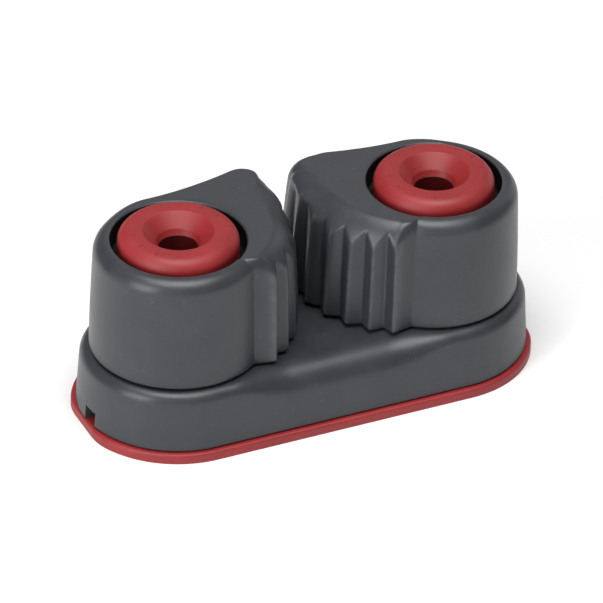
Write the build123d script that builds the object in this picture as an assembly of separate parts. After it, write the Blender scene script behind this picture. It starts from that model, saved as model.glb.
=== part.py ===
from build123d import *
import math
import os

# Cam cleat: two spring-loaded toothed cams on ball bearings, on a two-screw base.
# Millimetres, +Z up.  X runs along the row of screw holes, +Y is the side the cam
# noses point to, and the origin is the centre of the base's underside.
# Each side is drawn about its own axis, with +X towards the other cam and +Y towards
# the nose.  The left side is moved into place, and the right side is its mirror image.

# Driving dimensions: the screws
hole_spacing = 38.1
screw_bore_radius = 2.67
countersink_radius = 4.72
countersink_depth = 1.7
lip_radius = 3.0
lip_depth = 0.8

# Base plate
plate_radius = 14.3
plate_half_length = 32.7
plate_thickness = 1.4
plate_corner_radius = 8.0
plate_edge_radius = 0.4
boss_radius = 9.9
boss_height = 1.0
recess_radius = 4.6
recess_depth = 0.4

# Housing
housing_foot_radius = 13.6
housing_draft = 2.6
deck_height = 9.9
deck_edge_radius = 3.0
platform_height = 10.15
platform_edge_radius = 1.6
chamber_radius = 10.0
pocket_depth = 6.0
pocket_half_length = 7.0
pocket_half_width = 9.2
rib_thickness = 1.6
notch_width = 2.5
notch_height = 2.3
notch_depth = 2.4
notch_offset = 1.6

# Post, which is the inner ball race
post_spigot_radius = 4.55
post_core_radius = 5.6
flange_radius = 8.1
flange_thickness = 0.8
race_radius = 6.4
post_top = 24.4
nose_spigot_radius = 4.4
nose_spigot_height = 0.9

# Balls
ball_radius = 1.19
ball_circle_radius = 6.8
groove_radius = 1.25
balls_per_row = 16
first_ball_turn = 0.5
row_heights = {"lower": 12.5, "middle": 16.9, "upper": 21.3}

# Cams
cam_bottom = 10.5
cam_top = 27.0
cam_back_radius = 11.85
cam_draft_inset = 0.4
cam_bore_radius = 7.2
counterbore_radius = 9.25
counterbore_floor = 23.8
cam_top_edge_radius = 1.1
collar_radius = 8.3
collar_bottom = 10.05
back_end_angle = -52.3
first_tip_angle = -44.0
first_tip_radius = 14.35
tip_growth = 0.07
tip_growth_rise = 0.00022
tooth_pitch = 12.3
tooth_count = 7
tooth_fall = 7.1
tooth_depth = 1.25
nose_back_x = 14.48
nose_back_y = 13.58
nose_round_x = 16.73
nose_round_y = 12.74
flank_middle_x = 7.4
flank_middle_y = 12.3
flank_end_angle = 88.0

# Entry bevel on top of the teeth: part of a cone about an axis beside the cam's own
bevel_axis_x = 0.44
bevel_axis_y = 3.38
bevel_radius = 13.5
bevel_angle = 41.0
bevel_reach = 9.0
bevel_start = -60.0
bevel_sweep = 142.0

# Cam travel and its stop lug
cam_travel = 60.0
lug_angle = 180.0
lug_sweep = 12.0
lug_inner_radius = 10.15
lug_outer_radius = 11.15
lug_bottom = 8.0
lug_slot_radius = 11.3
lug_slot_bottom = 7.5
lug_slot_margin = 1.0

# Caps
cap_radius = 8.3
cap_top = 28.37
cap_edge_radius = 1.6

# Thrust washers
washer_inner_radius = 6.5
washer_outer_radius = 8.05
lower_washer_thickness = 0.4
running_gap = 0.05
fit_gap = 0.03

# Return springs
wire_radius = 0.5
coil_radius = 7.3
coil_pitch = 1.25
coil_turns = 3.4
coil_bottom = 3.2
fixed_leg_reach = 11.4
moving_leg_radius = 9.1
moving_leg_top = 12.3
bends_per_turn = 12
last_bend_gap = 0.7
coil_bend_share = 0.85
fixed_leg_bend = 1.2
moving_leg_bend = 0.9
upright_leg_bend = 0.8
leg_hole_radius = 0.75
leg_hole_top = 12.8
leg_slot_width = 1.5
leg_slot_height = 2.8
leg_slot_reach = 12.5

axis_offset = hole_spacing / 2
race_bottom = collar_bottom - running_gap - lower_washer_thickness
cutter_overshoot = 1.0
full_turn = 360.0


def polar(radius, degrees):
    """Point at a radius and an angle from the local +X direction."""
    angle = math.radians(degrees)
    return (radius * math.cos(angle), radius * math.sin(angle))


def disc(radius, bottom, top):
    """Upright cylinder about the local axis."""
    return Pos(0, 0, (bottom + top) / 2) * Cylinder(radius, top - bottom)


def ring(inner, outer, bottom, top):
    """Upright tube about the local axis."""
    return disc(outer, bottom, top) - disc(inner, bottom, top)


def ring_sector(inner, outer, bottom, top, start, sweep):
    """Part of an upright tube, from a start angle through a sweep."""
    middle = ((inner + outer) / 2, (bottom + top) / 2)
    section = Plane.XZ * Pos(*middle) * Rectangle(outer - inner, top - bottom)
    return Rot(0, 0, start) * revolve(section, Axis.Z, sweep)


def at_both_sides(solid):
    """The left-hand solid in place, joined with its mirror image."""
    left = Pos(-axis_offset, 0, 0) * solid
    return left + mirror(left, about=Plane.YZ)


def base_plate():
    """Flat flange with cut-off ends, and a locating boss under each chamber."""
    outline = SlotCenterToCenter(hole_spacing, 2 * plate_radius)
    outline &= Rectangle(2 * plate_half_length, 2 * plate_radius)
    ends = outline.vertices().filter_by(lambda corner: abs(corner.X) > plate_half_length - fit_gap)
    plate = extrude(fillet(ends, plate_corner_radius), plate_thickness)
    top_edges = plate.faces().sort_by(Axis.Z)[-1].outer_wire().edges()
    plate = fillet(top_edges, plate_edge_radius)
    boss_top = plate_thickness + boss_height
    plate += at_both_sides(disc(boss_radius, plate_thickness, boss_top))
    plate -= at_both_sides(disc(recess_radius, plate_thickness - recess_depth, boss_top))
    return plate - at_both_sides(disc(screw_bore_radius, -cutter_overshoot, boss_top))


def base_housing():
    """Drafted cover: a rounded deck between two raised round platforms."""
    deck = extrude(
        Pos(0, 0, plate_thickness) * SlotCenterToCenter(hole_spacing, 2 * housing_foot_radius),
        deck_height - plate_thickness,
        taper=housing_draft,
    )
    deck = fillet(deck.faces().sort_by(Axis.Z)[-1].edges(), deck_edge_radius)
    platform = extrude(
        Pos(0, 0, plate_thickness) * Circle(housing_foot_radius),
        platform_height - plate_thickness,
        taper=housing_draft,
    )
    platform = fillet(platform.faces().sort_by(Axis.Z)[-1].edges(), platform_edge_radius)
    housing = deck + at_both_sides(platform)
    housing -= at_both_sides(disc(chamber_radius, 0, platform_height + cutter_overshoot))
    return housing - at_both_sides(housing_slots()) - centre_pockets() - end_notches()


def housing_slots():
    """Room for the cam's stop lug and for the spring's fixed leg."""
    start = lug_angle - lug_sweep / 2 - lug_slot_margin
    sweep = cam_travel + lug_sweep + 2 * lug_slot_margin
    lug_slot = ring_sector(
        chamber_radius - fit_gap,
        lug_slot_radius,
        lug_slot_bottom,
        platform_height + cutter_overshoot,
        start,
        sweep,
    )
    leg_middle = (chamber_radius + leg_slot_reach) / 2 - fit_gap
    leg_length = leg_slot_reach - chamber_radius
    leg_slot = Pos(leg_middle, 0, plate_thickness + leg_slot_height / 2) * Box(
        leg_length, leg_slot_width, leg_slot_height
    )
    return lug_slot + leg_slot


def centre_pockets():
    """Two pockets moulded from below, each side of a rib."""
    width = pocket_half_width - rib_thickness / 2
    middle_y = (pocket_half_width + rib_thickness / 2) / 2
    pocket = Box(2 * pocket_half_length, width, pocket_depth)
    height = plate_thickness + pocket_depth / 2
    return Pos(0, middle_y, height) * pocket + Pos(0, -middle_y, height) * pocket


def end_notches():
    """A small square notch in the foot of each end wall."""
    notch = Box(2 * notch_depth, notch_width, notch_height)
    place = Pos(-housing_foot_radius, -notch_offset, plate_thickness + notch_height / 2)
    return at_both_sides(place * notch)


def post():
    """Hollow inner race with three ball grooves, clamped by the mounting screw."""
    boss_top = plate_thickness + boss_height
    flange_bottom = race_bottom - flange_thickness
    spigot_bottom = plate_thickness - recess_depth
    solid = disc(post_spigot_radius, spigot_bottom, boss_top)
    solid += disc(post_core_radius, boss_top, flange_bottom)
    solid += disc(flange_radius, flange_bottom, race_bottom)
    solid += disc(race_radius, race_bottom, post_top)
    solid += disc(nose_spigot_radius, post_top, post_top + nose_spigot_height)
    for height in row_heights.values():
        solid -= Pos(0, 0, height) * Torus(ball_circle_radius, groove_radius)
    top = post_top + nose_spigot_height + cutter_overshoot
    return solid - disc(screw_bore_radius, 0, top)


def cap():
    """Round cap that carries the screw head and keeps the cam and balls in."""
    body = disc(cap_radius, post_top, cap_top)
    body = fillet(body.faces().sort_by(Axis.Z)[-1].edges(), cap_edge_radius)
    lip_top = cap_top - countersink_depth
    bore_top = lip_top - lip_depth
    spigot_top = post_top + nose_spigot_height + fit_gap
    body -= disc(nose_spigot_radius + fit_gap, post_top, spigot_top)
    body -= disc(screw_bore_radius, post_top, cap_top)
    body -= Pos(0, 0, (bore_top + lip_top) / 2) * Cone(screw_bore_radius, lip_radius, lip_depth)
    sink_middle = (lip_top + cap_top) / 2
    return body - Pos(0, 0, sink_middle) * Cone(lip_radius, countersink_radius, countersink_depth)


def ball_row(height):
    """One full row of bearing balls, each a separate sphere."""
    balls = []
    for index in range(balls_per_row):
        angle = (index + first_ball_turn) * full_turn / balls_per_row
        balls.append(Pos(*polar(ball_circle_radius, angle), height) * Sphere(ball_radius).solid())
    return Compound(balls)


def spiral_radius(turn):
    """Radius of the spiral through the tooth tips, so many degrees past the first tip."""
    return first_tip_radius + tip_growth * turn + tip_growth_rise * turn**2


def cam_outline(inset):
    """Outline of a cam at one height: round back, toothed spiral face, nose and flank."""
    back_radius = cam_back_radius - inset
    corners = [polar(back_radius, back_end_angle)]
    for index in range(tooth_count):
        turn = index * tooth_pitch
        tip_radius = spiral_radius(turn) - inset
        notch_radius = spiral_radius(turn + tooth_fall) - tooth_depth - inset
        corners.append(polar(tip_radius, first_tip_angle + turn))
        corners.append(polar(notch_radius, first_tip_angle + turn + tooth_fall))
    corners.pop()
    shrink = 1 - inset / cam_back_radius
    nose_round = (nose_round_x * shrink, nose_round_y * shrink)
    nose_back = (nose_back_x * shrink, nose_back_y * shrink)
    flank_middle = (flank_middle_x * shrink, flank_middle_y * shrink)
    flank_end = polar(back_radius, flank_end_angle)
    back_sweep = full_turn + back_end_angle - flank_end_angle
    edges = Polyline(*corners).edges()
    edges += ThreePointArc(corners[-1], nose_round, nose_back).edges()
    edges += ThreePointArc(nose_back, flank_middle, flank_end).edges()
    edges += CenterArc((0, 0), back_radius, flank_end_angle, back_sweep).edges()
    return make_face(edges)


def bevel_cutter():
    """Ring-shaped cutter that slopes the cam's top down towards the rope."""
    drop = bevel_reach * math.tan(math.radians(bevel_angle))
    outer = bevel_radius + bevel_reach
    clear_top = cam_top + cutter_overshoot
    section = Plane.XZ * Polygon(
        (bevel_radius, cam_top),
        (outer, cam_top - drop),
        (outer, clear_top),
        (bevel_radius, clear_top),
        align=None,
    )
    turned = Rot(0, 0, bevel_start) * revolve(section, Axis.Z, bevel_sweep)
    return Pos(bevel_axis_x, bevel_axis_y, 0) * turned


def cam():
    """Toothed cam with its ball race, counterbore, collar, stop lug and spring hole."""
    lower = Pos(0, 0, cam_bottom) * cam_outline(0)
    upper = Pos(0, 0, cam_top) * cam_outline(cam_draft_inset)
    body = loft([lower, upper], ruled=True)
    top_edges = body.faces().sort_by(Axis.Z)[-1].outer_wire().edges()
    body = fillet(top_edges.sort_by(SortBy.LENGTH)[-1:], cam_top_edge_radius)
    body -= bevel_cutter()
    body += disc(collar_radius, collar_bottom, cam_bottom)
    body += ring_sector(
        lug_inner_radius,
        lug_outer_radius,
        lug_bottom,
        cam_bottom,
        lug_angle - lug_sweep / 2,
        lug_sweep,
    )
    body -= disc(cam_bore_radius, collar_bottom, cam_top)
    body -= disc(counterbore_radius, counterbore_floor, cam_top + cutter_overshoot)
    for height in row_heights.values():
        body -= Pos(0, 0, height) * Torus(ball_circle_radius, groove_radius)
    leg_x, leg_y = polar(moving_leg_radius, coil_turns * full_turn)
    return body - Pos(leg_x, leg_y, 0) * disc(leg_hole_radius, cam_bottom, leg_hole_top)


def lower_washer():
    """Thrust washer between the post's flange and the cam's collar."""
    return ring(washer_inner_radius, washer_outer_radius, race_bottom, collar_bottom - running_gap)


def upper_washer():
    """Thrust washer between the cam's counterbore and the cap."""
    return ring(washer_inner_radius, washer_outer_radius, counterbore_floor + running_gap, post_top)


def spring_path():
    """Centre line of the spring: a leg, a coil of small tangent arcs, and a leg that turns up."""
    end_angle = coil_turns * full_turn
    coil_top = coil_bottom + coil_pitch * coil_turns
    bend_step = full_turn / bends_per_turn
    corner_radius = coil_radius / math.cos(math.radians(bend_step / 2))
    spots = [(fixed_leg_reach, 0, coil_bottom), (coil_radius, 0, coil_bottom)]
    bends = [fixed_leg_bend]
    for index in range(1, math.floor(coil_turns * bends_per_turn - last_bend_gap) + 1):
        height = coil_bottom + coil_pitch * index / bends_per_turn
        spots.append((*polar(corner_radius, index * bend_step), height))
        bends.append(coil_bend_share * coil_radius)
    spots.append((*polar(coil_radius, end_angle), coil_top))
    spots.append((*polar(moving_leg_radius, end_angle), coil_top))
    spots.append((*polar(moving_leg_radius, end_angle), moving_leg_top))
    bends += [moving_leg_bend, upright_leg_bend]
    return FilletPolyline(*spots, radius=bends)


def return_spring():
    """Torsion spring: one leg held by the housing, the other in the cam's underside."""
    path = spring_path()
    section = Plane(origin=path @ 0, z_dir=path % 0) * Circle(wire_radius)
    return sweep(section, path=path)


def write_part(name, solid):
    """Write one sub-part to its own file."""
    export_step(solid, os.path.join("parts", name + ".step"))


def write_pair(name, solid):
    """Write the left-hand copy of a sub-part and its right-hand mirror image."""
    left = Pos(-axis_offset, 0, 0) * solid
    write_part(name + "_left", left)
    write_part(name + "_right", mirror(left, about=Plane.YZ))


os.makedirs("parts", exist_ok=True)
write_part("base_plate", base_plate())
write_part("base_housing", base_housing())
write_pair("post", post())
write_pair("cap", cap())
write_pair("cam", cam())
write_pair("thrust_washer_lower", lower_washer())
write_pair("thrust_washer_upper", upper_washer())
write_pair("return_spring", return_spring())
for row, row_height in row_heights.items():
    write_pair("balls_" + row, ball_row(row_height))
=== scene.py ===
import math

import bmesh
import bpy
import numpy as np
from mathutils import Matrix, Vector


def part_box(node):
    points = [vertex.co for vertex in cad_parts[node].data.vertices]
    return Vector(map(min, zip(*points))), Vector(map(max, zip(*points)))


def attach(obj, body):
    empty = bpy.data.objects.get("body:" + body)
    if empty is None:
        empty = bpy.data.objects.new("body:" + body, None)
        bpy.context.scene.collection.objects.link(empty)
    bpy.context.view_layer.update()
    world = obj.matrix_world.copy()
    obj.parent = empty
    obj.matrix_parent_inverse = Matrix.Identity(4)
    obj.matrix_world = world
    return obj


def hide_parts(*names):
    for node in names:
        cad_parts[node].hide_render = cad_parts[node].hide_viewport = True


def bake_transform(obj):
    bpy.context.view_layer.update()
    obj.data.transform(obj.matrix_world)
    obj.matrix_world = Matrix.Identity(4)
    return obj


# Cam cleat, in metres in Blender.  Sizes below are in millimetres and are scaled once,
# where a mesh is made.  +X runs along the screw holes, +Y is the side the noses point to.
# One side is drawn about its own axis, +X towards the other cam, and mirrored.

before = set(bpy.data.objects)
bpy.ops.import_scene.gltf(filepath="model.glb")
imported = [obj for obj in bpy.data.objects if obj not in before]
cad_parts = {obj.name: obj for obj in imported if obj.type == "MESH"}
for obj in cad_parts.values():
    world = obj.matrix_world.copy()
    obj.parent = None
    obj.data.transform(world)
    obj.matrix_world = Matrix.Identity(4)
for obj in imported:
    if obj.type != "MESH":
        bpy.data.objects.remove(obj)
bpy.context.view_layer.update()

MM = 0.001
FULL_TURN = 360.0


def low(node):
    """A CAD node's lowest corner in millimetres."""
    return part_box(node)[0] / MM


def high(node):
    """A CAD node's highest corner in millimetres."""
    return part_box(node)[1] / MM


# Places and sizes taken from the frame
axis_offset = (low("cap_right").x + high("cap_right").x) / 2
cam_back_radius = high("cam_right").x - axis_offset
cam_top = high("cam_left").z
cap_radius = (high("cap_left").x - low("cap_left").x) / 2
cap_bottom = low("cap_left").z
cap_top = high("cap_left").z
plate_thickness = low("base_housing").z
platform_height = high("base_housing").z
foot_radius = high("base_housing").y

# Cam: heights, radii and how far its sides lean
cam_bottom = 10.5
cam_draft = 0.5
face_lean = 0.9
lean_power = 1.6
gap_draft = 0.3
bottom_edge = 0.35
bore_radius = 7.2
counterbore_radius = 9.25
counterbore_floor = 23.8
counterbore_edge = 0.35
collar_radius = 8.3
collar_bottom = 10.05
bore_chamfer = 0.15
ball_circle_radius = 6.8
groove_radius = 1.25
row_heights = (12.5, 16.9, 21.3)

# Cam: outline about its axis, in degrees from the direction of the other cam
back_end_angle = -52.3
first_tip_angle = -44.0
first_tip_radius = 14.35
tip_growth = 0.07
tip_growth_rise = 0.00022
tooth_pitch = 12.3
tooth_count = 7
tooth_fall_share = 0.58
tooth_depth = 1.3
tooth_rounding = 0.05
nose_center = (14.8, 11.0)
nose_radius = 2.6
nose_end_angle = 97.0
flank_end_angle = 88.0
flank_power = 2.0

# Cam: the top edge.  The bevel's crease is a circle about a point beside the cam's axis.
crease_center = (0.44, 3.38)
crease_radius = 13.5
front_bevel_drop = 3.7
nose_bevel_drop = 1.2
bevel_power = 1.5
gap_fade_depth = 2.6
front_crest_rounding = 0.35
nose_crest_rounding = 0.9
crease_margin = 0.9
upper_depth = 7.0
upper_spread = 1.8
back_edge = 2.1
flank_edge = 1.1
# The two noses differ: the right one is rounded off lower and leans in further
nose_edge_width = {"left": 1.0, "right": 2.0}
nose_edge_drop = {"left": 1.0, "right": 2.8}
nose_lean = {"left": 0.0, "right": 0.6}

# Cam: the angles over which each treatment comes in, and over which it goes out again
face_lean_zone = (first_tip_angle, 20.0, 26.0, 36.0)
nose_lean_zone = (26.0, 36.0, 41.0, 49.0)
nose_edge_zone = (24.0, 36.0, 41.0, 49.0)
flank_edge_zone = (41.0, 49.0, 90.0, 130.0)
bevel_zone = (back_end_angle - 5, first_tip_angle + 4, 24.0, 38.0)
tooth_zone = (first_tip_angle - 4, first_tip_angle, 30.0, 36.0)
# Cam: the angles over which each front value turns into its nose value
crease_turn = (20.0, 36.0)
bevel_drop_turn = (-2.0, 24.0)
gap_fade_turn = (-4.0, 14.0)
crest_rounding_turn = (-15.0, 15.0)

# Stop lug under each cam, and the housing's slot for it
lug_angle = 180.0
lug_sweep = 12.0
lug_inner_radius = 10.15
lug_outer_radius = 11.15
lug_bottom = 8.0
lug_root = 0.2
lug_edge = 0.12
cam_travel = 60.0
lug_slot_radius = 11.3
lug_slot_bottom = 7.5
lug_slot_margin = 1.0

# Housing
housing_draft = math.tan(math.radians(2.6))
chamber_radius = 10.0
chamber_edge = 0.3
deck_height = 9.9
platform_edge = 1.7
deck_edge = 3.8
foot_inset = 0.3
platform_inner = 12.3
platform_outer = 15.0
deck_edge_start = axis_offset - 3.0
deck_edge_full = 9.0
notch_width = 2.5
notch_height = 2.3
notch_depth = 2.4
notch_offset = 1.6

# Caps
cap_edge = 1.8
countersink_radius = 4.72
countersink_depth = 1.7
lip_radius = 3.0
lip_depth = 0.8
screw_radius = 2.67
mark_count = 14
mark_circle = 6.45
mark_length = 0.95
mark_width = 0.34
mark_rise = 0.07
mark_root = 0.05
mark_corner = 16

# Springs
wire_radius = 0.5
coil_radius = 7.3
coil_pitch = 1.25
coil_turns = 3.4
coil_bottom = 3.2
coil_steps = 72
leg_bend = 0.8
fixed_leg_reach = 11.4
moving_leg_radius = 9.1
moving_leg_top = 12.3


def grid_object(name, rows, columns_closed=True, rows_closed=False, flip=False):
    """A mesh from a grid of points, given in millimetres as rows x columns x 3."""
    row_count, column_count, _ = rows.shape
    index = np.arange(row_count * column_count).reshape(row_count, column_count)
    if columns_closed:
        index = np.concatenate([index, index[:, :1]], axis=1)
    if rows_closed:
        index = np.concatenate([index, index[:1]], axis=0)
    corners = [index[:-1, :-1], index[:-1, 1:], index[1:, 1:], index[1:, :-1]]
    if flip:
        corners.reverse()
    faces = np.stack(corners, axis=-1).reshape(-1, 4)
    mesh = bpy.data.meshes.new(name)
    mesh.from_pydata((rows.reshape(-1, 3) * MM).tolist(), [], faces.tolist())
    mesh.validate()
    mesh.update()
    piece = bpy.data.objects.new(name, mesh)
    bpy.context.scene.collection.objects.link(piece)
    return piece


def shade(piece, angle_degrees):
    """Smooth shading with sharp edges kept above an angle."""
    for polygon in piece.data.polygons:
        polygon.use_smooth = True
    piece.data.set_sharp_from_angle(angle=math.radians(angle_degrees))


def place(piece, side):
    """Move a piece from its own axis to the left side, or to its mirror image."""
    piece.data.transform(Matrix.Translation((-axis_offset * MM, 0, 0)))
    if side == "right":
        piece.data.transform(Matrix.Diagonal((-1, 1, 1, 1)))
        piece.data.flip_normals()
    return piece


def outward(piece):
    """Point every face outwards."""
    mesh = bmesh.new()
    mesh.from_mesh(piece.data)
    bmesh.ops.recalc_face_normals(mesh, faces=mesh.faces)
    mesh.to_mesh(piece.data)
    mesh.free()


def lathe(name, profile, segments):
    """A closed ring of revolution from a profile of (radius, height) points."""
    turn = np.linspace(0, 2 * math.pi, segments, endpoint=False)
    radius = np.array([point[0] for point in profile])[:, None]
    height = np.array([point[1] for point in profile])[:, None]
    rows = np.stack(
        [radius * np.cos(turn), radius * np.sin(turn), height + 0 * turn], axis=-1
    )
    piece = grid_object(name, rows, rows_closed=True)
    outward(piece)
    return piece


def arc(center, radius, start, end, count):
    """Points on an arc, from a start angle to an end angle in degrees."""
    turn = np.radians(np.linspace(start, end, count))
    return [(center[0] + radius * math.cos(t), center[1] + radius * math.sin(t)) for t in turn]


def smooth_step(value, start, end):
    """0 before start, 1 after end, and a smooth rise between."""
    share = np.clip((value - start) / (end - start), 0, 1)
    return share * share * (3 - 2 * share)


def smooth_min(a, b, width):
    """The smaller of two values, rounded where they cross."""
    share = np.clip(0.5 + 0.5 * (b - a) / width, 0, 1)
    return b + (a - b) * share - width * share * (1 - share)


# ---------------------------------------------------------------- cams


def cam_angles():
    """Column angles about the cam's axis, closest together over the teeth."""
    spans = ((-54.0, 34.0, 0.45), (34.0, 60.0, 0.8), (60.0, 94.0, 1.6), (94.0, 306.0, 2.5))
    parts = [np.linspace(a, b, round((b - a) / step), endpoint=False) for a, b, step in spans]
    return np.concatenate(parts)


def spiral_radius(turn):
    """Radius of the spiral through the tooth tips, so many degrees past the first tip."""
    return first_tip_radius + tip_growth * turn + tip_growth_rise * turn**2


def cam_blank_radius(angles):
    """Radius of the cam's outline before the teeth are cut, at its bottom."""
    points = [(cam_back_radius, back_end_angle)]
    tip = first_tip_radius * np.exp(1j * math.radians(first_tip_angle))
    start = cam_back_radius * np.exp(1j * math.radians(back_end_angle))
    for share in np.linspace(0, 1, 12):
        spot = start + (tip - start) * share
        points.append((abs(spot), math.degrees(np.angle(spot))))
    nose_start = first_tip_angle + (tooth_count - 1) * tooth_pitch
    for angle in np.arange(first_tip_angle, nose_start, 0.5):
        points.append((spiral_radius(angle - first_tip_angle), angle))
    for x, y in arc(nose_center, nose_radius, 0.0, nose_end_angle, 24):
        points.append((math.hypot(x, y), math.degrees(math.atan2(y, x))))
    flank_x, flank_y = arc(nose_center, nose_radius, nose_end_angle, nose_end_angle, 1)[0]
    end_x = cam_back_radius * math.cos(math.radians(flank_end_angle))
    end_y = cam_back_radius * math.sin(math.radians(flank_end_angle))
    for share in np.linspace(1, 0, 30)[1:]:
        x = end_x + (flank_x - end_x) * share
        y = end_y + (flank_y - end_y) * share**flank_power
        points.append((math.hypot(x, y), math.degrees(math.atan2(y, x))))
    points.append((cam_back_radius, FULL_TURN + back_end_angle))
    radii = np.array([point[0] for point in points])
    turns = np.array([point[1] for point in points])
    order = np.argsort(turns, kind="stable")
    wrapped = (angles - back_end_angle) % FULL_TURN + back_end_angle
    total = 0
    offsets = np.linspace(-0.8, 0.8, 7)
    for offset in offsets:
        total = total + np.interp(wrapped + offset, turns[order], radii[order])
    return total / len(offsets)


def notch_depth_at(angles):
    """How far the tooth gaps are cut below the blank."""
    total = 0
    offsets = np.linspace(-tooth_rounding, tooth_rounding, 9)
    for offset in offsets:
        phase = (angles - first_tip_angle) / tooth_pitch + offset
        inside = (phase > 0) & (phase < tooth_count - 1)
        part = phase % 1.0
        fall = part / tooth_fall_share
        rise = (1 - part) / (1 - tooth_fall_share)
        total = total + np.where(inside, np.minimum(fall, rise), 0)
    return tooth_depth * total / len(offsets)


def between(angles, rise_start, rise_end, fall_start, fall_end):
    """1 over a span of angles, with a smooth rise before it and a smooth fall after it."""
    return smooth_step(angles, rise_start, rise_end) * (1 - smooth_step(angles, fall_start, fall_end))


def turning(angles, front_value, nose_value, turn):
    """A value that goes smoothly from its front value to its nose value over two angles."""
    return front_value + (nose_value - front_value) * smooth_step(angles, *turn)


def lean_at(angles, side):
    """How far the cam's side has leaned in at its top."""
    face = between(angles, *face_lean_zone)
    nose = between(angles, *nose_lean_zone)
    return cam_draft + face_lean * face + nose_lean[side] * nose


def crease_at(angles, top_radius, side):
    """Radius of the crease where the flat top turns down into the entry bevel."""
    turn = np.radians(angles)
    ahead = crease_center[0] * np.cos(turn) + crease_center[1] * np.sin(turn)
    reach = crease_radius**2 - crease_center[0] ** 2 - crease_center[1] ** 2
    circle = ahead + np.sqrt(ahead**2 + reach)
    nose = smooth_step(angles, *crease_turn)
    crease = circle + (top_radius - nose_edge_width[side] - circle) * nose
    return smooth_min(crease, top_radius - crease_margin, 0.6)


def cam_rows(side):
    """Grid of a whole cam, from its bore up, over the top, down the teeth and back."""
    angles = cam_angles()
    turn = np.radians(angles)
    crest_rounding = turning(angles, front_crest_rounding, nose_crest_rounding, crest_rounding_turn)
    blank = cam_blank_radius(angles) + front_crest_rounding / 4
    notch = notch_depth_at(angles)
    ones = np.ones_like(angles)
    span = cam_top - cam_bottom
    lean = lean_at(angles, side)

    bevelled = between(angles, *bevel_zone)
    nose = between(angles, *nose_edge_zone)
    flank = between(angles, *flank_edge_zone)
    back = 1 - nose - flank
    edge_width = back_edge * back + flank_edge * flank + nose_edge_width[side] * nose
    edge_drop = back_edge * back + flank_edge * flank + nose_edge_drop[side] * nose
    crease = crease_at(angles, blank - lean, side)
    bevel_drop = turning(angles, front_bevel_drop, nose_bevel_drop, bevel_drop_turn)
    gap_fade = smooth_step(angles, *gap_fade_turn)

    def blank_radius(z):
        """Outline at a height, with its bevel or rounded edge but without its tooth gaps."""
        wall = blank - lean * ((z - cam_bottom) / span) ** lean_power
        down = np.clip((cam_top - z) / bevel_drop, 0, 1)
        slope = crease + (wall - crease) * (1 - (1 - down) ** bevel_power) ** (1 / bevel_power)
        above = np.clip((z - cam_top + edge_drop) / edge_drop, 0, 1)
        edge = wall - edge_width * (1 - np.sqrt(1 - above**2))
        return wall, edge + (slope - edge) * bevelled

    def toothed_radius(z):
        """Outline at a height with its tooth gaps, which fade out at the top near the nose."""
        whole_gap = 1 - gap_fade * (1 - smooth_step(cam_top - z, 0.0, gap_fade_depth))
        gap_floor = blank - notch * whole_gap - gap_draft * (z - cam_bottom) / span
        wall, whole = blank_radius(z)
        cut = smooth_min(whole, gap_floor, crest_rounding)
        return whole + (cut - whole) * np.clip(notch / 0.2, 0, 1)

    rings = []
    crest_wear_and_sheen = []

    def add(radius, height, pale_wear_and_sheen=0.0):
        rings.append((radius * ones, height * ones))
        crest_wear_and_sheen.append(pale_wear_and_sheen * ones)

    add(bore_radius, collar_bottom + bore_chamfer)
    for height in row_heights:
        half = math.sqrt(groove_radius**2 - (bore_radius - ball_circle_radius) ** 2)
        edge_angle = math.degrees(math.asin(half / groove_radius))
        center = (ball_circle_radius, height)
        for radius, z in arc(center, groove_radius, -edge_angle, edge_angle, 11):
            add(radius, z)
    add(bore_radius, counterbore_floor - bore_chamfer)
    add(bore_radius + bore_chamfer, counterbore_floor)
    add(counterbore_radius - 0.2, counterbore_floor)
    add(counterbore_radius, counterbore_floor + 0.2)
    corner = (counterbore_radius + counterbore_edge, cam_top - counterbore_edge)
    for radius, z in arc(corner, counterbore_edge, 180, 90, 6):
        add(radius, z)
    flat_start = counterbore_radius + counterbore_edge
    flat_end = blank_radius(cam_top)[1]
    for share in (0.2, 0.45, 0.7, 0.85, 0.94):
        add(flat_start + (flat_end - flat_start) * share, cam_top)

    # Pale crest lines on the tooth ridges: partly rubbed anodising, partly a painted highlight
    crest = 1 - np.clip(notch / 0.3, 0, 1)
    toothed = between(angles, *tooth_zone)
    foot_height = cam_bottom + bottom_edge
    for share in np.linspace(0, 1, 30):
        z = cam_top - upper_depth * share**upper_spread
        wall, whole = blank_radius(z)
        add(toothed_radius(z), z, crest * toothed * smooth_step(wall - whole, 0.5, 0.1))
    for share in np.linspace(0, 1, 13)[1:]:
        z = cam_top - upper_depth + (foot_height - cam_top + upper_depth) * share
        add(toothed_radius(z), z, crest * toothed)
    foot = toothed_radius(foot_height)
    for tilt in np.radians(np.linspace(0, 90, 6))[1:]:
        add(foot - bottom_edge * (1 - math.cos(tilt)), foot_height - bottom_edge * math.sin(tilt))
    add(foot - 1.2, cam_bottom)
    add(collar_radius, cam_bottom)
    add(collar_radius, collar_bottom + 0.1)
    add(collar_radius - 0.1, collar_bottom)
    add(bore_radius + bore_chamfer, collar_bottom)

    radius = np.array([ring[0] for ring in rings])
    height = np.array([ring[1] for ring in rings])
    rows = np.stack([radius * np.cos(turn), radius * np.sin(turn), height], axis=-1)
    return rows, np.array(crest_wear_and_sheen)


def make_cam(side):
    """One toothed cam."""
    rows, crest_wear_and_sheen = cam_rows(side)
    piece = grid_object("cam_body_" + side, rows, rows_closed=True)
    # Paleness of the crest lines: partly rubbed anodising, partly a painted highlight
    attribute = piece.data.attributes.new("crest_wear_and_sheen", "FLOAT", "POINT")
    attribute.data.foreach_set("value", crest_wear_and_sheen.astype(np.float32).ravel())
    outward(piece)
    place(piece, side)
    shade(piece, 50)
    return piece


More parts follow.
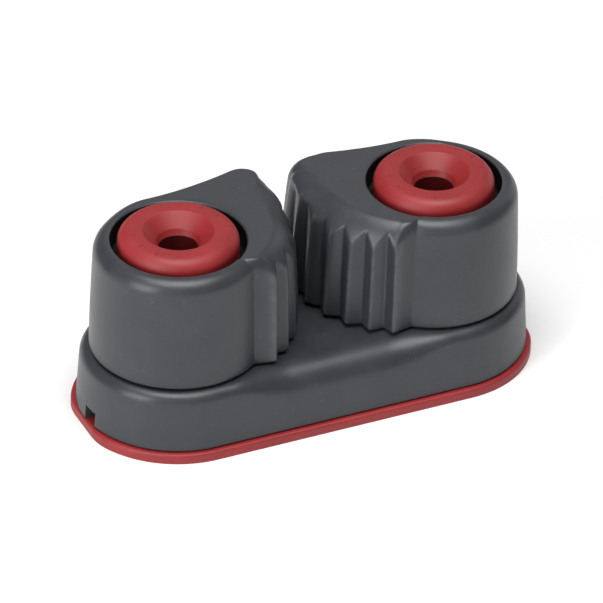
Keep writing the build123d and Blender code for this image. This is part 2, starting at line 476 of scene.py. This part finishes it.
def sector_mesh(inner, outer, bottom, top, start, end, steps):
    """Part of an upright tube about the local axis, from a start angle to an end angle."""
    mesh = bmesh.new()
    grid = []
    for angle in np.radians(np.linspace(start, end, steps)):
        corners = ((inner, bottom), (outer, bottom), (outer, top), (inner, top))
        grid.append(
            [
                mesh.verts.new((r * math.cos(angle) * MM, r * math.sin(angle) * MM, z * MM))
                for r, z in corners
            ]
        )
    for first, second in zip(grid, grid[1:]):
        for corner in range(4):
            after = (corner + 1) % 4
            mesh.faces.new((first[corner], second[corner], second[after], first[after]))
    mesh.faces.new(grid[0])
    mesh.faces.new(list(reversed(grid[-1])))
    bmesh.ops.recalc_face_normals(mesh, faces=mesh.faces)
    return mesh


def make_stop_lug(side):
    """The stop lug that hangs under the cam in the housing's slot."""
    start = lug_angle - lug_sweep / 2
    top = cam_bottom + lug_root
    mesh = sector_mesh(lug_inner_radius, lug_outer_radius, lug_bottom, top, start, start + lug_sweep, 9)
    sharp = [edge for edge in mesh.edges if edge.calc_face_angle(0) > math.radians(40)]
    bmesh.ops.bevel(mesh, geom=sharp, offset=lug_edge * MM, segments=2, affect="EDGES", profile=0.5)
    data = bpy.data.meshes.new("cam_stop_lug_" + side)
    mesh.to_mesh(data)
    mesh.free()
    piece = bpy.data.objects.new("cam_stop_lug_" + side, data)
    bpy.context.scene.collection.objects.link(piece)
    place(piece, side)
    shade(piece, 40)
    return piece


# ---------------------------------------------------------------- housing


def housing_height(x, y):
    """Height of the housing's top: a deck with a raised platform round each axis."""
    near = np.hypot(np.abs(x) - axis_offset, y)
    return platform_height - (platform_height - deck_height) * smooth_step(
        near, platform_inner, platform_outer
    )


def wall_radius(z):
    """Drafted half-width of the housing at a height."""
    return foot_radius - (z - plate_thickness) * housing_draft


def outline_spot(angles, radius):
    """Where a ray from the left axis meets the housing's outline of a given radius."""
    turn = np.radians(angles)
    half_x = foot_radius / np.maximum(np.abs(np.tan(turn)), 1e-6)
    along = np.abs((angles + 180) % FULL_TURN - 180) < 90
    x = np.where(along, -axis_offset + half_x, -axis_offset + radius * np.cos(turn))
    y = np.where(along, np.sign(np.sin(turn)) * radius, radius * np.sin(turn))
    normal_x = np.where(along, 0, np.cos(turn))
    normal_y = np.where(along, np.sign(np.sin(turn)), np.sin(turn))
    return x, y, normal_x, normal_y


def housing_half():
    """Left half of the housing as two grids that share their edges."""
    corner = math.degrees(math.atan2(foot_radius, axis_offset))
    back = np.linspace(corner, 90, 46)
    end = np.linspace(90, 270, 91)[1:]
    front = np.linspace(270, 360 - corner, 46)[1:]
    walled = np.concatenate([back, end, front])
    inner = np.linspace(-corner, corner, 42)[1:-1]

    from_middle = np.abs(outline_spot(walled, foot_radius)[0])
    edge_share = smooth_step(-from_middle, -deck_edge_start, -deck_edge_full)
    edge = platform_edge + (deck_edge - platform_edge) * edge_share
    top_x, top_y, nx, ny = outline_spot(walled, wall_radius(platform_height))
    start_x = top_x - nx * edge
    start_y = top_y - ny * edge
    start_z = housing_height(start_x, start_y)

    ring_turn = np.radians(np.concatenate([walled, inner]))
    plane_y = start_y[0] * np.tan(np.radians(inner)) / math.tan(math.radians(corner))
    far_x = np.concatenate([start_x, 0 * inner])
    far_y = np.concatenate([start_y, plane_y])
    rows = []
    lip = chamber_radius + chamber_edge
    near_x = -axis_offset + lip * np.cos(ring_turn)
    near_y = lip * np.sin(ring_turn)
    chamber_x = -axis_offset + chamber_radius * np.cos(ring_turn)
    chamber_y = chamber_radius * np.sin(ring_turn)
    ones = np.ones_like(ring_turn)
    rows.append((chamber_x, chamber_y, plate_thickness * ones))
    rows.append((chamber_x, chamber_y, 5.0 * ones))
    for lean in np.radians(np.linspace(0, 90, 5)):
        r = chamber_radius + chamber_edge * (1 - math.cos(lean))
        z = platform_height - chamber_edge + chamber_edge * math.sin(lean)
        rows.append((-axis_offset + r * np.cos(ring_turn), r * np.sin(ring_turn), z * ones))
    for share in np.linspace(0, 1, 26)[1:]:
        x = near_x + (far_x - near_x) * share
        y = near_y + (far_y - near_y) * share
        rows.append((x, y, housing_height(x, y)))
    top = np.array(rows).transpose(0, 2, 1)

    lean_limit = math.pi / 2 - math.atan(housing_draft)
    walls = [(start_x, start_y, start_z)]
    for lean in np.linspace(0, lean_limit, 12)[1:]:
        out = edge * math.sin(lean)
        z = start_z - edge * (1 - math.cos(lean))
        walls.append((start_x + nx * out, start_y + ny * out, z))
    last_x, last_y, last_z = walls[-1]
    foot_x, foot_y, _, _ = outline_spot(walled, foot_radius)
    foot_z = plate_thickness + foot_inset
    for share in np.linspace(0, 1, 12)[1:]:
        walls.append(
            (
                last_x + (foot_x - last_x) * share,
                last_y + (foot_y - last_y) * share,
                last_z + (foot_z - last_z) * share,
            )
        )
    under_x, under_y, _, _ = outline_spot(walled, foot_radius - foot_inset)
    walls.append((under_x, under_y, plate_thickness + 0 * under_x))
    wall = np.array(walls).transpose(0, 2, 1)
    return top, wall, len(walled)


def make_housing():
    """Housing: rounded deck between two platforms, with its chambers, slots and end notches."""
    top, wall, walled_count = housing_half()
    mesh = bmesh.new()

    def sheet(points, closed):
        grid = [[mesh.verts.new(Vector(spot) * MM) for spot in row] for row in points]
        for first, second in zip(grid, grid[1:]):
            count = len(first)
            for column in range(count if closed else count - 1):
                after = (column + 1) % count
                mesh.faces.new((first[column], first[after], second[after], second[column]))
        return grid

    top_grid = sheet(top, closed=True)
    wall_grid = sheet(wall, closed=False)
    # The flat underside, between the chamber's foot and the outline's foot
    inner_ring = top_grid[0]
    foot_ring = wall_grid[-1]
    for column in range(walled_count - 1):
        mesh.faces.new(
            (inner_ring[column], foot_ring[column], foot_ring[column + 1], inner_ring[column + 1])
        )
    inner_count = len(inner_ring) - walled_count
    first_y = wall[-1][-1][1]
    last_y = wall[-1][0][1]
    plane = [foot_ring[-1]]
    for step in range(1, inner_count + 1):
        y = first_y + (last_y - first_y) * step / (inner_count + 1)
        plane.append(mesh.verts.new(Vector((0, y, plate_thickness)) * MM))
    plane.append(foot_ring[0])
    ring = [inner_ring[walled_count - 1]] + inner_ring[walled_count:] + [inner_ring[0]]
    for step in range(inner_count + 1):
        mesh.faces.new((ring[step], plane[step], plane[step + 1], ring[step + 1]))

    bmesh.ops.remove_doubles(mesh, verts=mesh.verts, dist=1e-6)
    copy = bmesh.ops.duplicate(mesh, geom=list(mesh.verts) + list(mesh.edges) + list(mesh.faces))
    copied = [item for item in copy["geom"] if isinstance(item, bmesh.types.BMVert)]
    bmesh.ops.scale(mesh, vec=(-1, 1, 1), verts=copied)
    bmesh.ops.remove_doubles(mesh, verts=mesh.verts, dist=1e-6)
    bmesh.ops.recalc_face_normals(mesh, faces=mesh.faces)
    data = bpy.data.meshes.new("housing_shell")
    mesh.to_mesh(data)
    mesh.free()
    piece = bpy.data.objects.new("housing_shell", data)
    bpy.context.scene.collection.objects.link(piece)
    cut_notches(piece)
    cut_lug_slots(piece)
    shade(piece, 45)
    return piece


def cut_notches(piece):
    """Cut the small square notch in the foot of each end wall."""
    for sign in (-1, 1):
        reach = axis_offset + foot_radius
        size = (2 * notch_depth * MM, notch_width * MM, 2 * notch_height * MM)
        bpy.ops.mesh.primitive_cube_add(size=1)
        cutter = bpy.context.active_object
        cutter.data.transform(Matrix.Diagonal((*size, 1)))
        spot = (sign * reach * MM, -notch_offset * MM, plate_thickness * MM)
        cutter.data.transform(Matrix.Translation(spot))
        cut_away(piece, cutter)


def cut_lug_slots(piece):
    """Cut the slot that each cam's stop lug runs in."""
    start = lug_angle - lug_sweep / 2 - lug_slot_margin
    end = start + lug_sweep + cam_travel + 2 * lug_slot_margin
    inner = chamber_radius - 0.05
    top = platform_height + 1.0
    for side in ("left", "right"):
        mesh = sector_mesh(inner, lug_slot_radius, lug_slot_bottom, top, start, end, 38)
        data = bpy.data.meshes.new("slot_cutter")
        mesh.to_mesh(data)
        mesh.free()
        cutter = bpy.data.objects.new("slot_cutter", data)
        bpy.context.scene.collection.objects.link(cutter)
        place(cutter, side)
        cut_away(piece, cutter)


def cut_away(piece, cutter):
    """Cut one object out of a piece, and remove it."""
    modifier = piece.modifiers.new("cut", "BOOLEAN")
    modifier.operation = "DIFFERENCE"
    modifier.solver = "EXACT"
    modifier.object = cutter
    graph = bpy.context.evaluated_depsgraph_get()
    cut = bpy.data.meshes.new_from_object(piece.evaluated_get(graph))
    piece.modifiers.clear()
    piece.data = cut
    bpy.data.objects.remove(cutter)


# ---------------------------------------------------------------- caps


def make_cap(side):
    """Red cap: rounded rim, countersink, lip and screw hole."""
    lip_top = cap_top - countersink_depth
    profile = [(screw_radius, cap_bottom), (cap_radius - 0.2, cap_bottom)]
    profile.append((cap_radius, cap_bottom + 0.2))
    rim = (cap_radius - cap_edge, cap_top - cap_edge)
    profile += arc(rim, cap_edge, 0, 90, 14)
    profile.append((6.2, cap_top))
    sink_edge = 0.22
    profile.append((countersink_radius + 1.0, cap_top))
    profile += arc((countersink_radius + sink_edge, cap_top - sink_edge), sink_edge, 90, 135, 5)
    profile += [(lip_radius + 0.12, lip_top + 0.1), (lip_radius, lip_top - 0.02)]
    profile += [(lip_radius - 0.05, lip_top - 0.1), (screw_radius + 0.1, lip_top - lip_depth)]
    profile.append((screw_radius, lip_top - lip_depth - 0.1))
    piece = lathe("cap_body_" + side, profile, 128)
    place(piece, side)
    shade(piece, 40)
    return piece


def make_cap_marks(side):
    """A ring of small plain raised bars on the cap."""
    mesh = bmesh.new()
    for index in range(mark_count):
        angle = 2 * math.pi * (index + 0.5) / mark_count
        turn = Matrix.Rotation(angle, 4, "Z")
        move = Matrix.Translation((mark_circle * MM, 0, cap_top * MM))
        base = []
        peak = []
        for step in range(mark_corner):
            bend = 2 * math.pi * step / mark_corner
            x = 0.5 * mark_length * math.copysign(abs(math.cos(bend)) ** 0.6, math.cos(bend))
            y = 0.5 * mark_width * math.copysign(abs(math.sin(bend)) ** 0.6, math.sin(bend))
            low_spot = Vector((x * MM, y * MM, -mark_root * MM))
            high_spot = Vector((0.8 * x * MM, 0.7 * y * MM, mark_rise * MM))
            base.append(mesh.verts.new(turn @ move @ low_spot))
            peak.append(mesh.verts.new(turn @ move @ high_spot))
        for step in range(mark_corner):
            after = (step + 1) % mark_corner
            mesh.faces.new((base[step], base[after], peak[after], peak[step]))
        mesh.faces.new(peak)
        mesh.faces.new(list(reversed(base)))
    bmesh.ops.recalc_face_normals(mesh, faces=mesh.faces)
    data = bpy.data.meshes.new("cap_marks_" + side)
    mesh.to_mesh(data)
    mesh.free()
    piece = bpy.data.objects.new("cap_marks_" + side, data)
    bpy.context.scene.collection.objects.link(piece)
    place(piece, side)
    shade(piece, 50)
    return piece


# ---------------------------------------------------------------- springs


def make_spring(side):
    """Torsion spring: a coil with a fixed leg outwards and a moving leg upwards."""
    path = []
    for radius in np.linspace(fixed_leg_reach, coil_radius + 1.0, 8):
        path.append((radius, 0.0, coil_bottom))
    for step in np.arange(4, coil_turns * coil_steps):
        angle = 2 * math.pi * step / coil_steps
        z = coil_bottom + coil_pitch * step / coil_steps
        path.append((coil_radius * math.cos(angle), coil_radius * math.sin(angle), z))
    end = 2 * math.pi * coil_turns
    top = coil_bottom + coil_pitch * coil_turns
    leg_x = moving_leg_radius * math.cos(end)
    leg_y = moving_leg_radius * math.sin(end)
    path.append((0.96 * leg_x, 0.96 * leg_y, top))
    for z in np.linspace(top + leg_bend, moving_leg_top, 8):
        path.append((leg_x, leg_y, z))
    curve = bpy.data.curves.new("return_coil_" + side, "CURVE")
    curve.dimensions = "3D"
    curve.bevel_depth = wire_radius * MM
    curve.bevel_resolution = 5
    curve.use_fill_caps = True
    spline = curve.splines.new("POLY")
    spline.points.add(len(path) - 1)
    for point, spot in zip(spline.points, path):
        point.co = (spot[0] * MM, spot[1] * MM, spot[2] * MM, 1)
    holder = bpy.data.objects.new("return_coil_path", curve)
    bpy.context.scene.collection.objects.link(holder)
    graph = bpy.context.evaluated_depsgraph_get()
    data = bpy.data.meshes.new_from_object(holder.evaluated_get(graph))
    bpy.data.objects.remove(holder)
    piece = bpy.data.objects.new("return_coil_" + side, data)
    data.name = "return_coil_" + side
    bpy.context.scene.collection.objects.link(piece)
    place(piece, side)
    shade(piece, 60)
    return piece


# ---------------------------------------------------------------- materials


def new_material(name):
    """An empty node material, and helpers to add and link its nodes."""
    material = bpy.data.materials.new(name)
    material.use_nodes = True
    tree = material.node_tree
    tree.nodes.clear()
    output = tree.nodes.new("ShaderNodeOutputMaterial")
    shader = tree.nodes.new("ShaderNodeBsdfPrincipled")
    tree.links.new(shader.outputs["BSDF"], output.inputs["Surface"])
    return material, tree, shader


def noise(tree, scale, detail=4.0, roughness=0.5):
    """Noise in the object's own coordinates; scale is in cells per metre."""
    coordinates = tree.nodes.new("ShaderNodeTexCoord")
    node = tree.nodes.new("ShaderNodeTexNoise")
    node.inputs["Scale"].default_value = scale
    node.inputs["Detail"].default_value = detail
    node.inputs["Roughness"].default_value = roughness
    tree.links.new(coordinates.outputs["Object"], node.inputs["Vector"])
    return node.outputs["Fac"]


def ramp(tree, value, stops):
    """A colour ramp over a value."""
    node = tree.nodes.new("ShaderNodeValToRGB")
    while len(node.color_ramp.elements) < len(stops):
        node.color_ramp.elements.new(0.5)
    for element, (position, colour) in zip(node.color_ramp.elements, stops):
        element.position = position
        element.color = (*colour, 1.0)
    tree.links.new(value, node.inputs["Fac"])
    return node.outputs["Color"]


def remap(tree, value, low_in, high_in, low_out, high_out):
    """A value stretched from one range to another."""
    node = tree.nodes.new("ShaderNodeMapRange")
    node.inputs["From Min"].default_value = low_in
    node.inputs["From Max"].default_value = high_in
    node.inputs["To Min"].default_value = low_out
    node.inputs["To Max"].default_value = high_out
    tree.links.new(value, node.inputs["Value"])
    return node.outputs["Result"]


def mix_colour(tree, share, first, second):
    """Mix two colours by a share."""
    node = tree.nodes.new("ShaderNodeMix")
    node.data_type = "RGBA"
    tree.links.new(share, node.inputs["Factor"])
    for socket, colour in ((node.inputs["A"], first), (node.inputs["B"], second)):
        if isinstance(colour, tuple):
            socket.default_value = (*colour, 1.0)
        else:
            tree.links.new(colour, socket)
    return node.outputs["Result"]


def bump(tree, shader, height, strength, distance, under=None):
    """Bump from a height, over an earlier bump if there is one."""
    node = tree.nodes.new("ShaderNodeBump")
    node.inputs["Strength"].default_value = strength
    node.inputs["Distance"].default_value = distance
    tree.links.new(height, node.inputs["Height"])
    if under is not None:
        tree.links.new(under, node.inputs["Normal"])
    tree.links.new(node.outputs["Normal"], shader.inputs["Normal"])
    return node.outputs["Normal"]


def anodised_grey(name, dark, light, pale_wear_and_sheen, gloss):
    """Dark grey hard-anodised casting: mottled and flecked, with pale crest lines on the teeth that are
    partly rubbed anodising and partly a painted highlight, and painted shade that makes its
    counterbores near black.
    """
    material, tree, shader = new_material(name)
    cloud = noise(tree, 220, 5, 0.55)
    speck = noise(tree, 1900, 3, 0.6)
    base = ramp(tree, cloud, ((0.3, dark), (0.7, light)))
    fleck = remap(tree, speck, 0.62, 0.8, 0.0, 0.35)
    base = mix_colour(tree, fleck, base, pale_wear_and_sheen)
    # Pale crest lines from the mesh, broken up by noise: partly rubbed anodising, partly a painted
    # highlight
    attribute = tree.nodes.new("ShaderNodeAttribute")
    attribute.attribute_name = "crest_wear_and_sheen"
    crest_wear_and_sheen_share = tree.nodes.new("ShaderNodeMath")
    crest_wear_and_sheen_share.operation = "MULTIPLY"
    tree.links.new(attribute.outputs["Fac"], crest_wear_and_sheen_share.inputs[0])
    tree.links.new(remap(tree, noise(tree, 900, 4), 0.35, 0.75, 0.2, 0.5), crest_wear_and_sheen_share.inputs[1])
    base = mix_colour(tree, crest_wear_and_sheen_share.outputs["Value"], base, pale_wear_and_sheen)
    # Painted shade: the cam counterbores are darkened to near black
    base = darken_painted_shade(tree, base, (0.003, 0.003, 0.003))
    tree.links.new(base, shader.inputs["Base Color"])
    tree.links.new(remap(tree, cloud, 0.3, 0.7, gloss - 0.04, gloss + 0.05), shader.inputs["Roughness"])
    shader.inputs["Metallic"].default_value = 0.0
    shader.inputs["IOR"].default_value = 1.5
    first = bump(tree, shader, noise(tree, 3200, 2), 0.10, 0.00004)
    bump(tree, shader, noise(tree, 420, 3), 0.06, 0.0003, first)
    return material


def moulded_red(name, dark, light):
    """Red glass-filled nylon: slightly uneven colour, a fine matte grain, and painted shade that
    darkens its screw bores.
    """
    material, tree, shader = new_material(name)
    cloud = noise(tree, 160, 4, 0.5)
    base = ramp(tree, cloud, ((0.32, dark), (0.68, light)))
    fleck = remap(tree, noise(tree, 2600, 3, 0.6), 0.6, 0.8, 0.0, 0.25)
    base = mix_colour(tree, fleck, base, (0.34, 0.050, 0.052))
    # Painted shade: the screw bores are darkened to a dark red
    base = darken_painted_shade(tree, base, (0.07, 0.001, 0.001))
    tree.links.new(base, shader.inputs["Base Color"])
    tree.links.new(remap(tree, cloud, 0.3, 0.7, 0.46, 0.56), shader.inputs["Roughness"])
    shader.inputs["IOR"].default_value = 1.5
    first = bump(tree, shader, noise(tree, 4200, 2), 0.12, 0.00003)
    bump(tree, shader, noise(tree, 600, 3), 0.05, 0.0002, first)
    return material


def smooth_plastic(name, dark, light, gloss):
    """Acetal: nearly even colour with a soft polish."""
    material, tree, shader = new_material(name)
    cloud = noise(tree, 500, 3)
    tree.links.new(ramp(tree, cloud, ((0.3, dark), (0.7, light))), shader.inputs["Base Color"])
    tree.links.new(remap(tree, cloud, 0.3, 0.7, gloss, gloss + 0.08), shader.inputs["Roughness"])
    bump(tree, shader, noise(tree, 5000, 2), 0.05, 0.00002)
    return material


def drawn_steel(name):
    """Spring wire: bright steel with fine drawing lines."""
    material, tree, shader = new_material(name)
    coordinates = tree.nodes.new("ShaderNodeTexCoord")
    stretch = tree.nodes.new("ShaderNodeMapping")
    stretch.inputs["Scale"].default_value = (300, 300, 9000)
    tree.links.new(coordinates.outputs["Object"], stretch.inputs["Vector"])
    lines = tree.nodes.new("ShaderNodeTexNoise")
    lines.inputs["Scale"].default_value = 1.0
    tree.links.new(stretch.outputs["Vector"], lines.inputs["Vector"])
    value = lines.outputs["Fac"]
    base = ramp(tree, value, ((0.3, (0.42, 0.42, 0.41)), (0.7, (0.62, 0.62, 0.61))))
    tree.links.new(base, shader.inputs["Base Color"])
    tree.links.new(remap(tree, value, 0.3, 0.7, 0.22, 0.36), shader.inputs["Roughness"])
    shader.inputs["Metallic"].default_value = 1.0
    bump(tree, shader, value, 0.1, 0.00002)
    return material


def mark_painted_shade(piece, is_shaded):
    """Mark for painted shade the points inside a bore or a counterbore, whose radius and height are in
    millimetres.
    """
    spots = np.zeros(3 * len(piece.data.vertices))
    piece.data.vertices.foreach_get("co", spots)
    x, y, z = spots.reshape(-1, 3).T / MM
    radius = np.hypot(np.abs(x) - axis_offset, y)
    attribute = piece.data.attributes.new("painted_shade_mask", "FLOAT", "POINT")
    attribute.data.foreach_set("value", is_shaded(radius, z).astype(np.float32))


def darken_painted_shade(tree, base, dark):
    """Paint shade: darken a colour where a piece is marked for painted shade."""
    attribute = tree.nodes.new("ShaderNodeAttribute")
    attribute.attribute_name = "painted_shade_mask"
    return mix_colour(tree, attribute.outputs["Fac"], base, dark)


def paint(piece, material):
    """Give a piece one material."""
    piece.data.materials.clear()
    piece.data.materials.append(material)


# ---------------------------------------------------------------- assembly

cam_finish = anodised_grey(
    "cam_anodised", (0.027, 0.030, 0.035), (0.036, 0.039, 0.045), (0.13, 0.133, 0.141), 0.38
)
housing_finish = anodised_grey(
    "housing_anodised", (0.026, 0.029, 0.034), (0.034, 0.037, 0.043), (0.11, 0.113, 0.121), 0.38
)
red_finish = moulded_red("red_nylon", (0.235, 0.012, 0.014), (0.285, 0.017, 0.020))
# The posts show only as the dark inside of the screw bores: their red is darkened as painted shade
post_painted_shade_finish = moulded_red("post_red_nylon_painted_shade", (0.07, 0.001, 0.001), (0.09, 0.002, 0.002))
acetal_finish = smooth_plastic("acetal", (0.70, 0.69, 0.64), (0.80, 0.79, 0.74), 0.35)
ball_finish = smooth_plastic("ball_acetal", (0.64, 0.58, 0.46), (0.74, 0.69, 0.57), 0.2)
steel_finish = drawn_steel("spring_steel")

node_finishes = {
    "base_plate": red_finish,
    "post": post_painted_shade_finish,
    "thrust_washer": acetal_finish,
    "balls": ball_finish,
}
for node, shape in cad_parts.items():
    for start_of_name, finish in node_finishes.items():
        if node.startswith(start_of_name):
            paint(shape, finish)
            shade(shape, 30)

housing = make_housing()
paint(housing, housing_finish)
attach(housing, "root")
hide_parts("base_housing")

for side, sign in (("left", -1), ("right", 1)):
    cam = make_cam(side)
    # Mark the cam's counterbore for painted shade
    mark_painted_shade(cam, lambda radius, z: (radius < counterbore_radius + 0.05) & (z > cam_bottom))
    paint(cam, cam_finish)
    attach(cam, "cam_" + side)
    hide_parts("cam_" + side)

    lug = make_stop_lug(side)
    paint(lug, cam_finish)
    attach(lug, "cam_" + side)

    cap = make_cap(side)
    # Mark the cap's screw bore below the countersink for painted shade
    mark_painted_shade(cap, lambda radius, z: (radius < screw_radius + 0.05) & (z < cap_top - countersink_depth))
    paint(cap, red_finish)
    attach(cap, "root")
    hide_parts("cap_" + side)

    marks = make_cap_marks(side)
    paint(marks, red_finish)
    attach(marks, "root")

    coil = make_spring(side)
    paint(coil, steel_finish)
    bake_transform(coil)
    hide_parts("return_spring_" + side)

# ---------------------------------------------------------------- floor, lights and camera


def make_floor():
    """A large plain pale floor."""
    size = 3.0
    rows = np.array([[(-size, -size, 0), (size, -size, 0)], [(-size, size, 0), (size, size, 0)]])
    floor = grid_object("floor", rows / MM, columns_closed=False)
    material, tree, shader = new_material("floor_paper")
    tone = ramp(tree, noise(tree, 3, 2), ((0.3, (0.86, 0.86, 0.86)), (0.7, (0.89, 0.89, 0.89))))
    tree.links.new(tone, shader.inputs["Base Color"])
    shader.inputs["Roughness"].default_value = 0.9
    shader.inputs["Specular IOR Level"].default_value = 0.1
    paint(floor, material)


def area_light(name, spot, aim, size, power):
    """A rectangular soft light at a spot, turned to an aim point."""
    data = bpy.data.lights.new(name, "AREA")
    data.shape = "RECTANGLE"
    data.size, data.size_y = size
    data.energy = power
    lamp = bpy.data.objects.new(name, data)
    lamp.location = spot
    lamp.rotation_euler = (Vector(aim) - Vector(spot)).to_track_quat("-Z", "Y").to_euler()
    bpy.context.scene.collection.objects.link(lamp)


def make_world():
    """Even pale surroundings."""
    world = bpy.data.worlds.new("studio")
    world.use_nodes = True
    background = world.node_tree.nodes["Background"]
    background.inputs["Color"].default_value = (1.0, 1.0, 1.0, 1.0)
    background.inputs["Strength"].default_value = 0.16
    bpy.context.scene.world = world


def make_camera():
    """Long-lens camera at the viewing angle, slightly rolled."""
    azimuth = math.radians(-25.646)
    elevation = math.radians(33.819)
    roll = math.radians(1.672)
    distance = 1.001
    aim = Vector((0, 0, 0.013))
    nudge_right = 0.000415
    nudge_up = 0.000888
    back = Vector(
        (
            math.sin(azimuth) * math.cos(elevation),
            -math.cos(azimuth) * math.cos(elevation),
            math.sin(elevation),
        )
    )
    level = Vector((math.cos(azimuth), math.sin(azimuth), 0))
    upright = back.cross(level)
    right = math.cos(roll) * level + math.sin(roll) * upright
    up = -math.sin(roll) * level + math.cos(roll) * upright
    data = bpy.data.cameras.new("camera")
    data.sensor_width = 36.0
    data.lens = 438.24
    data.clip_start = 0.05
    data.clip_end = 20.0
    camera = bpy.data.objects.new("camera", data)
    spot = aim + back * distance - right * nudge_right - up * nudge_up
    camera.matrix_world = Matrix.Translation(spot) @ Matrix((right, up, back)).transposed().to_4x4()
    bpy.context.scene.collection.objects.link(camera)
    bpy.context.scene.camera = camera


make_floor()
make_world()
middle = (0.0, 0.0, 0.015)
area_light("overhead", (-0.05, -0.12, 0.80), middle, (0.60, 0.50), 7.2)
area_light("back", (0.30, 0.62, 0.46), middle, (0.60, 0.30), 0.36)
area_light("left", (-0.66, -0.26, 0.28), middle, (0.25, 0.5), 3.5)
area_light("front_left", (-0.36, -0.66, 0.30), middle, (0.25, 0.4), 0.3)
area_light("right", (0.62, 0.28, 0.22), middle, (0.20, 0.5), 0.3)
make_camera()
bpy.context.scene.view_settings.view_transform = "Standard"
